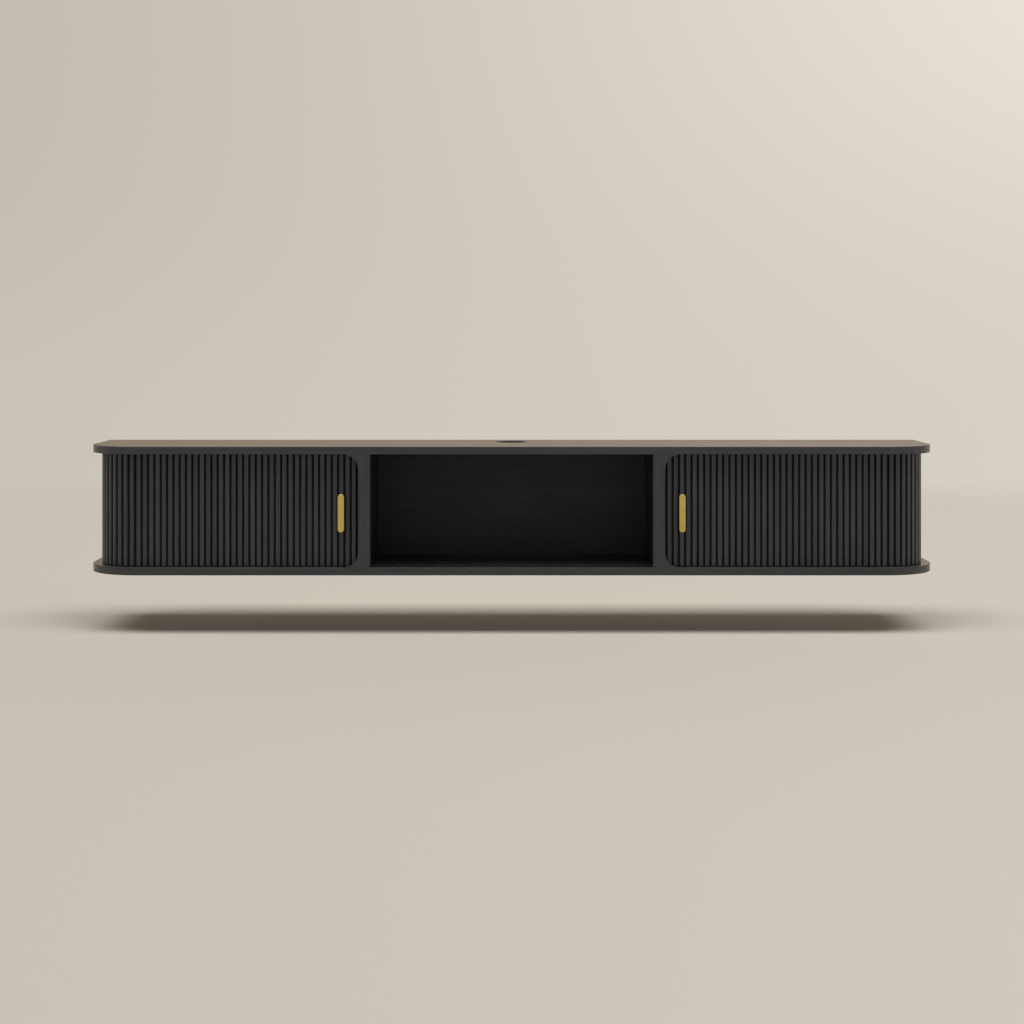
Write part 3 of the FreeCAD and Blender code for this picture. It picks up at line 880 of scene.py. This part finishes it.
def make_cleats():
    """The bare plywood cleats and the spacer behind the console."""
    dress("wall_cleat", "bare_plywood")
    for name in ("cabinet_cleat", "lower_spacer"):
        softened_node(name, "bare_plywood", sizes().board_rounding)


def crown_outline(size, height):
    """Half of a slat's crown, from its root to its face: across and outward."""
    half, radius = size.slat_crown_width / 2, size.slat_rounding
    rounded = arc((half - radius, height - radius), radius, 0.0, QUARTER, steps=5)
    return [(half, size.slat_base_thickness), *rounded]


def add_slat(bm, number_on, height):
    """One slat: its base with a tongue at each end, and the rounded crown between the panels."""
    size = sizes()
    recess = bm.verts.layers.float["recess"]
    x, y, outward = on_line(LEAD_LOW.x + size.slat_base_width / 2 + number_on * size.slat_pitch)
    out = Vector((math.cos(outward), math.sin(outward), 0))
    across = Vector((-out.y, out.x, 0))
    low, high = LEAD_LOW.z, LEAD_HIGH.z
    half, thick = size.slat_base_width / 2, size.slat_base_thickness

    def ring(points, z):
        made = []
        for u, v in points:
            made.append(bm.verts.new(Vector((x, y, z)) + across * u + out * v))
            # The base, down in the gaps between the crowns, is marked for the painted gap shade.
            made[-1][recess] = 1.0 if v <= thick else 0.0
        return made

    base = [(-half, GLUE), (half, GLUE), (half, thick), (-half, thick)]
    arch = crown_outline(size, height)
    crown = arch + [(-u, v) for u, v in reversed(arch)]
    foot, head = ring(base, low), ring(base, high)
    lower, upper = ring(crown, low + size.slat_tongue), ring(crown, high - size.slat_tongue)
    faces = [foot, head[::-1]]
    faces += [[foot[one], foot[two], head[two], head[one]] for one, two in ((0, 1), (1, 2), (3, 0))]
    faces += [[lower[at], lower[at + 1], upper[at + 1], upper[at]] for at in range(len(crown) - 1)]
    faces += [
        lower,
        upper,
        [foot[2], head[2], upper[0], lower[0]],
        [foot[3], lower[-1], upper[-1], head[3]],
        [foot[3], foot[2], lower[0], lower[-1]],
        [head[2], head[3], upper[-1], upper[0]],
    ]
    for face in faces:
        bm.faces.new(face)


def slat_run(first, last, name, sunk):
    """The slats from one number up to another, on the right-hand side.

    Sunk is how far their faces lie behind those of the other runs.
    """
    bm = bmesh.new()
    # The recess layer marks where the slats' gaps get painted shade.
    bm.verts.layers.float.new("recess")
    for number_on in range(first, last):
        add_slat(bm, number_on, SLAT_THICKNESS - sunk)
    return evened(shaded(bm, name))


def fold_up(obj):
    """Give a front run its own copy of its mesh."""
    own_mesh(obj)


def make_slats():
    """Both curtains: lead slats, front slats up to the bend, and the end slats."""
    size = sizes()
    runs = (
        ("lead_slats", 0, size.lead_slats, 0.0),
        ("front_slats", size.lead_slats, size.front_slats, FRONT_SLATS_SUNK),
        ("end_slats", size.front_slats, size.all_slats, 0.0),
    )
    for side, sign in SIDES:
        for name, first, last, sunk in runs:
            cad_name = side + "_" + name
            mesh = slat_run(first, last, cad_name, sunk)
            if sign < 0:
                mirror_mesh(mesh)
            obj = add_piece(cad_name + "_rounded", mesh, body_with(cad_name),
                            "stained_slats", [cad_name])
            if name == "front_slats":
                fold_up(obj)


def make_cloths():
    """The cloth that the slats are glued to, in three stretches a side."""
    size = sizes()
    stretches = (
        ("lead", size.lead_slats),
        ("front", size.front_slats - size.lead_slats),
        ("end", size.all_slats - size.front_slats),
    )
    for side, sign in SIDES:
        for name, count in stretches:
            cad_name = f"{side}_{name}_cloth"
            mesh = shaded(cleaned_copy(cad_name), cad_name)
            obj = add_piece(cad_name + "_woven", mesh, body_with(cad_name),
                            "woven_cloth", [cad_name])
            if name == "front":
                fold_up(obj)


def handle_rings(low, high):
    """Rings of a pill, as (radius, y): a rounded edge, a shallow bevel and a slightly dished face."""
    size = sizes()
    radius = (high.x - low.x) / 2
    face = radius - size.handle_bevel
    front, back = low.y, high.y - HANDLE_STANDOFF
    edge, slope = size.handle_rounding, size.handle_slope
    flat = size.handle_bevel - edge + edge * math.sin(slope)
    edge_y = front + edge * math.cos(slope) + flat * math.tan(slope)
    return [
        (radius - HANDLE_SOFT, back),
        (radius, back - HANDLE_SOFT),
        *arc((radius - edge, edge_y), edge, 0.0, slope - QUARTER, steps=5),
        (face + HANDLE_SOFT, front + HANDLE_SOFT * math.tan(slope)),
        (face - HANDLE_SOFT, front),
        (radius * 0.30, front + HANDLE_DISH * 0.8),
        (radius * 0.10, front + HANDLE_DISH),
        (0.0, front + HANDLE_DISH),
    ]


def handle_bar(low, high):
    """The pill-shaped bar, with its bevel and its dished face."""
    bm = bmesh.new()
    middle, end = (low.x + high.x) / 2, (high.x - low.x) / 2
    rows = []
    for radius, y in handle_rings(low, high):
        top = arc((middle, high.z - end), radius, 0.0, math.pi, steps=24)
        bottom = arc((middle, low.z + end), radius, math.pi, 2 * math.pi, steps=24)
        rows.append([bm.verts.new((x, y, z)) for x, z in top + bottom])
    bm.faces.new(rows[0])
    count = len(rows[0])
    for one, two in zip(rows, rows[1:]):
        for step in range(count):
            after = (step + 1) % count
            bm.faces.new([one[step], two[step], two[after], one[after]])
    bmesh.ops.remove_doubles(bm, verts=bm.verts, dist=WELD)
    bmesh.ops.dissolve_degenerate(bm, dist=FINE_WELD, edges=bm.edges)
    return evened(shaded(bm, "bar"))


def handle_post(foot):
    """A round post from the slat's face to the bar, eased where it goes into the bar."""
    radius, length = sizes().handle_post_radius, HANDLE_STANDOFF + POST_SUNK
    eased, drawn_in = 0.0006, 0.0002
    profile = [(0, 0), (radius, 0), (radius, length - eased), (radius - drawn_in, length), (0, length)]
    return shaded(turned(profile, foot, TO_ROOM), "post")


def make_handles():
    """The brass handles, each a bar on two posts."""
    lift = UP * (sizes().handle_post_spacing / 2)
    for side, _ in SIDES:
        name = side + "_handle"
        low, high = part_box(name)
        middle = Vector(((low.x + high.x) / 2, high.y, (low.z + high.z) / 2))
        bar = handle_bar(low, high)
        posts = [handle_post(foot) for foot in (middle - lift, middle + lift)]
        mesh = merged([bar, *posts], name + "_domed")
        add_piece(name + "_domed", mesh, body_with(name), "satin_brass", [name])


def make_grommet():
    """The flush cable grommet: a dished flange with a rounded lip."""
    size = sizes()
    middle = (GROMMET_LOW + GROMMET_HIGH) / 2
    foot = Vector((middle.x, middle.y, GROMMET_LOW.z))
    height = GROMMET_HIGH.z - GROMMET_LOW.z
    flange = (GROMMET_HIGH.x - GROMMET_LOW.x) / 2 - size.grommet_play
    bore, seat = size.grommet_bore, height - size.grommet_flange
    sleeve = bore + size.grommet_wall
    edge, rim, dish, lip = 0.0003, 0.0008, 0.0007, 0.0014
    profile = [
        (bore, 0),
        (sleeve, 0),
        (sleeve, seat),
        (flange, seat),
        (flange, height - edge),
        (flange - edge, height),
        (flange - rim, height),
        *arc((bore + lip, height - dish - lip), lip, QUARTER, math.pi, steps=6),
        (bore, 0),
    ]
    bm = turned(profile, foot, UP, steps=96)
    bmesh.ops.remove_doubles(bm, verts=bm.verts, dist=FINE_WELD)
    mesh = evened(shaded(bm, "cable_grommet"))
    add_piece("cable_grommet_moulded", mesh, "carcass", "moulded_plastic",
              ["cable_grommet"])


def screw_head(centre, axis, radius):
    """A flush screw head with a cross recess; the axis points out of the head."""
    depth, edge, recess = 0.002, 0.0003, 0.0008
    profile = [(0, -depth), (radius * 0.55, -depth), (radius, -edge), (radius - edge, 0), (0, 0)]
    head = shaded(turned(profile, centre, axis), "head")
    along = axis.to_track_quat("Z", "X").to_matrix().to_4x4()
    cutters = []
    for turn in (math.radians(20), math.radians(110)):
        bm = bmesh.new()
        bmesh.ops.create_cube(bm, size=1)
        bmesh.ops.scale(bm, vec=(radius * 1.1, radius * 0.22, recess * 2), verts=bm.verts)
        place = Matrix.Translation(centre) @ along @ Matrix.Rotation(turn, 4, "Z")
        bmesh.ops.transform(bm, matrix=place, verts=bm.verts)
        cutters.append(shaded(bm, "slot"))
    return cut_away(head, cutters)


def make_screws():
    """Screw heads that show: the lock screws in the bay and the panel screws underneath."""
    radius = (LOCK_HIGH.z - LOCK_LOW.z) / 2
    level = (LOCK_HIGH.z + LOCK_LOW.z) / 2
    lock_heads = [screw_head(Vector((x, LOCK_LOW.y, level)), TO_ROOM, radius)
                  for x in (LOCK_LOW.x + radius, LOCK_HIGH.x - radius)]
    panel_heads = [screw_head(place + UP * SCREW_SUNK, DOWN, sizes().panel_screw_radius)
                   for place in panel_screw_places()]
    for name, heads in (("lock_screw_heads", lock_heads), ("panel_screw_heads", panel_heads)):
        add_piece(name, merged(heads, name), "carcass", "black_steel")
    for name in ("lock_screws", "left_handle_screws", "right_handle_screws"):
        dress(name, "black_steel")


def make_pads():
    """Soft pads that the doors close on."""
    for side, _ in SIDES:
        softened_node(side + "_door_bumpers", "soft_rubber", PAD_ROUNDING)


# ---------------------------------------------------------------- stage

def lifted(tree, colour, lift):
    """A colour with a share of the backdrop's glow added."""
    return vector_sum(tree, "MULTIPLY_ADD", colours().glow, lift, colour)


def backdrop_colour(tree, way):
    """The backdrop's colour in a direction, and how far to the right of the middle that is.

    It's lighter to the right, and more so towards the top.
    """
    parts = split(tree, way)
    ahead = remap(tree, parts["Y"], 0.0, 0.7, 0.0, 1.0, smooth=True)
    across = product(tree, ahead, remap(tree, parts["X"], -0.6, 0.6, -0.4, 0.4, smooth=True))
    rise = remap(tree, parts["Z"], -0.06, 0.20, 0.0, 1.0, smooth=True)
    slope = total(tree, product(tree, rise, 0.38), 0.167)
    late = remap(tree, parts["Z"], 0.02, 0.20, 0.0, 1.0, smooth=True)
    bowl = total(tree, product(tree, product(tree, across, across), 0.5), 0.02)
    lift = total(tree, product(tree, across, slope), product(tree, late, bowl))
    return lifted(tree, colours().backdrop, lift), across


def seen_rays(tree):
    """One for rays that show the background: from the camera, reflected or refracted."""
    path = node(tree, "ShaderNodeLightPath")
    shown = number(tree, "MAXIMUM", path.outputs["Is Camera Ray"], path.outputs["Is Glossy Ray"])
    return number(tree, "MAXIMUM", shown, path.outputs["Is Transmission Ray"])


def floor_material():
    """A pale floor that keeps shadows, with painted light in its colour, and glows with the backdrop's
    colour far away.
    """
    material, tree = new_material("studio_floor")
    place = node(tree, "ShaderNodeTexCoord").outputs["Object"]
    far = remap(tree, vector_sum(tree, "LENGTH", place), 3.2, 5.0, 0.0, 1.0, smooth=True)
    way = vector_sum(tree, "NORMALIZE", vector_sum(tree, "SUBTRACT", place, EYE))
    distant, across = backdrop_colour(tree, way)
    # Painted light: the floor is painted lighter far behind and darker towards the camera, and lighter
    # to the right by a share of the backdrop's glow.
    along = remap(tree, split(tree, place)["Y"], -2.8, 2.6, -0.038, 0.014)
    ground_painted_light = lifted(tree, colours().ground, total(tree, product(tree, across, 0.08), along))
    matt = node(tree, "ShaderNodeBsdfDiffuse")
    join(tree, ground_painted_light, matt.inputs["Color"])
    glow = node(tree, "ShaderNodeEmission", Strength=1.0)
    join(tree, distant, glow.inputs["Color"])
    share = product(tree, far, seen_rays(tree))
    blend = mixed_shader(tree, share, matt.outputs[0], glow.outputs[0])
    join(tree, blend, node(tree, "ShaderNodeOutputMaterial").inputs["Surface"])
    return material


def make_world():
    """A pale backdrop that the camera and reflections see, and the light that falls from all round."""
    world = bpy.data.worlds.new("studio")
    bpy.context.scene.world = world
    world.use_nodes = True
    tree = world.node_tree
    tree.nodes.clear()
    tint = colours()
    way = node(tree, "ShaderNodeTexCoord").outputs["Generated"]
    parts = split(tree, way)
    shown, across = backdrop_colour(tree, way)

    room = tuple(ROOM_SHARE * c for c in tint.front_fill)
    ceiling = tuple(CEILING_SHARE * c for c in tint.front_fill)
    height = remap(tree, parts["Z"], 0.05, 0.50, 0.0, 1.0, smooth=True)
    fill = mixed_colour(tree, height, room, ceiling)
    frontal = remap(tree, parts["Y"], 0.3, -0.3, 0.0, 1.0, smooth=True)
    behind = lifted(tree, tint.rear_glow, product(tree, across, 0.3))
    mirrored = mixed_colour(tree, frontal, behind, fill)
    glossy = node(tree, "ShaderNodeLightPath").outputs["Is Glossy Ray"]
    background = node(tree, "ShaderNodeBackground", Strength=1.0)
    join(tree, mixed_colour(tree, glossy, shown, mirrored), background.inputs["Color"])

    rearward = remap(tree, parts["Y"], -1.0, 0.7, 0.0, 1.0, smooth=True)
    sideways = remap(tree, rearward, 0.0, 1.0, FRONT_LIGHT, REAR_LIGHT)
    low = remap(tree, parts["Z"], 0.10, 0.60, 1.0, HIGH_LIGHT, smooth=True)
    light = node(tree, "ShaderNodeBackground")
    join(tree, mixed_colour(tree, rearward, tint.front_fill, tint.rear_fill), light.inputs["Color"])
    join(tree, product(tree, sideways, low), light.inputs["Strength"])
    blend = mixed_shader(tree, seen_rays(tree), light.outputs[0], background.outputs[0])
    join(tree, blend, node(tree, "ShaderNodeOutputWorld").inputs["Surface"])


def make_floor():
    """A wide round floor under the console."""
    bm = bmesh.new()
    bmesh.ops.create_circle(bm, cap_ends=True, radius=FLOOR_RADIUS, segments=96)
    bmesh.ops.translate(bm, verts=bm.verts, vec=(0, 0, BOTTOM_LOW.z - sizes().floor_drop))
    mesh = shaded(bm, "floor")
    floor = placed("studio_floor", mesh)
    mesh.materials.append(floor_material())


def make_lamp():
    """A long soft strip of light high overhead, reaching a little towards the room."""
    reach = LAMP_HEIGHT * math.tan(LAMP_REACH_ANGLE)
    data = bpy.data.lights.new("overhead_softbox", "AREA")
    data.shape = "RECTANGLE"
    data.size = 2 * LAMP_HEIGHT * math.tan(LAMP_HALF_ANGLE)
    data.size_y = reach
    data.energy = LAMP_POWER
    data.color = (1.0, 0.99, 0.985)
    lamp = placed("overhead_softbox", data)
    lamp.location = (0, TOP_LOW.y - reach / 2, LAMP_HEIGHT)


def make_camera():
    """A long lens in front of the console and a little above it, held level."""
    data = bpy.data.cameras.new("camera")
    data.sensor_width = 36.0
    data.lens = 66.4
    data.shift_x = 0.00034
    data.shift_y = -0.1716
    camera = placed("camera", data)
    camera.location = EYE
    camera.rotation_euler = (QUARTER, 0, 0)
    bpy.context.scene.camera = camera


def make_stage():
    """Floor, background, lamp and camera."""
    make_world()
    make_floor()
    make_lamp()
    make_camera()
    bpy.context.scene.view_settings.view_transform = "Standard"


# ---------------------------------------------------------------- operators and panel

class ConsoleStage(bpy.types.Operator):
    """Set up the floor, background, lamp and camera"""

    bl_idname = "console.stage"
    bl_label = "Stage"

    def execute(self, context):
        make_stage()
        return {"FINISHED"}


class ConsolePanels(bpy.types.Operator):
    """Add the top and bottom panels"""

    bl_idname = "console.panels"
    bl_label = "Top and Bottom"

    def execute(self, context):
        make_panels()
        return {"FINISHED"}


class ConsoleUprights(bpy.types.Operator):
    """Add the dividers, stiles, rails, inner ends and posts"""

    bl_idname = "console.uprights"
    bl_label = "Uprights"

    def execute(self, context):
        make_uprights()
        return {"FINISHED"}


class ConsoleBacks(bpy.types.Operator):
    """Finish the back panel and the false backs"""

    bl_idname = "console.backs"
    bl_label = "Backs"

    def execute(self, context):
        make_backs()
        return {"FINISHED"}


class ConsoleCleats(bpy.types.Operator):
    """Finish the cleats and the spacer"""

    bl_idname = "console.cleats"
    bl_label = "Cleats"

    def execute(self, context):
        make_cleats()
        return {"FINISHED"}


class ConsoleSlats(bpy.types.Operator):
    """Add the slats of both curtains"""

    bl_idname = "console.slats"
    bl_label = "Slats"

    def execute(self, context):
        make_slats()
        return {"FINISHED"}


class ConsoleCloths(bpy.types.Operator):
    """Add the cloth behind the slats"""

    bl_idname = "console.cloths"
    bl_label = "Curtain Cloth"

    def execute(self, context):
        make_cloths()
        return {"FINISHED"}


class ConsoleHandles(bpy.types.Operator):
    """Add the brass handles"""

    bl_idname = "console.handles"
    bl_label = "Handles"

    def execute(self, context):
        make_handles()
        return {"FINISHED"}


class ConsoleGrommet(bpy.types.Operator):
    """Add the cable grommet"""

    bl_idname = "console.grommet"
    bl_label = "Cable Grommet"

    def execute(self, context):
        make_grommet()
        return {"FINISHED"}


class ConsoleScrews(bpy.types.Operator):
    """Add the screw heads that show"""

    bl_idname = "console.screws"
    bl_label = "Screws"

    def execute(self, context):
        make_screws()
        return {"FINISHED"}


class ConsolePads(bpy.types.Operator):
    """Add the doors' closing pads"""

    bl_idname = "console.pads"
    bl_label = "Door Pads"

    def execute(self, context):
        make_pads()
        return {"FINISHED"}


OPERATORS = (
    ConsoleStage, ConsolePanels, ConsoleUprights, ConsoleBacks, ConsoleCleats, ConsoleSlats,
    ConsoleCloths, ConsoleHandles, ConsoleGrommet, ConsoleScrews, ConsolePads,
)


class ConsoleSidebar(bpy.types.Panel):
    """The console's pieces, sizes and colours in the sidebar"""

    bl_idname = "VIEW3D_PT_console"
    bl_label = "Media Console"
    bl_space_type = "VIEW_3D"
    bl_region_type = "UI"
    bl_category = "Console"

    def draw(self, context):
        column = self.layout.column()
        for operator in OPERATORS:
            column.operator(operator.bl_idname)
        for group in (context.scene.console_sizes, context.scene.console_colours):
            box = self.layout.box()
            for name in group.bl_rna.properties.keys():
                if name not in ("rna_type", "name"):
                    box.prop(group, name)


CLASSES = (ConsoleSizes, ConsoleColours, *OPERATORS, ConsoleSidebar)


def register():
    for item in CLASSES:
        bpy.utils.register_class(item)
    bpy.types.Scene.console_sizes = PointerProperty(type=ConsoleSizes)
    bpy.types.Scene.console_colours = PointerProperty(type=ConsoleColours)


def unregister():
    del bpy.types.Scene.console_sizes
    del bpy.types.Scene.console_colours
    for item in reversed(CLASSES):
        bpy.utils.unregister_class(item)


def main():
    register()
    for operator in OPERATORS:
        group, name = operator.bl_idname.split(".")
        getattr(getattr(bpy.ops, group), name)()


if __name__ == "__main__":
    main()
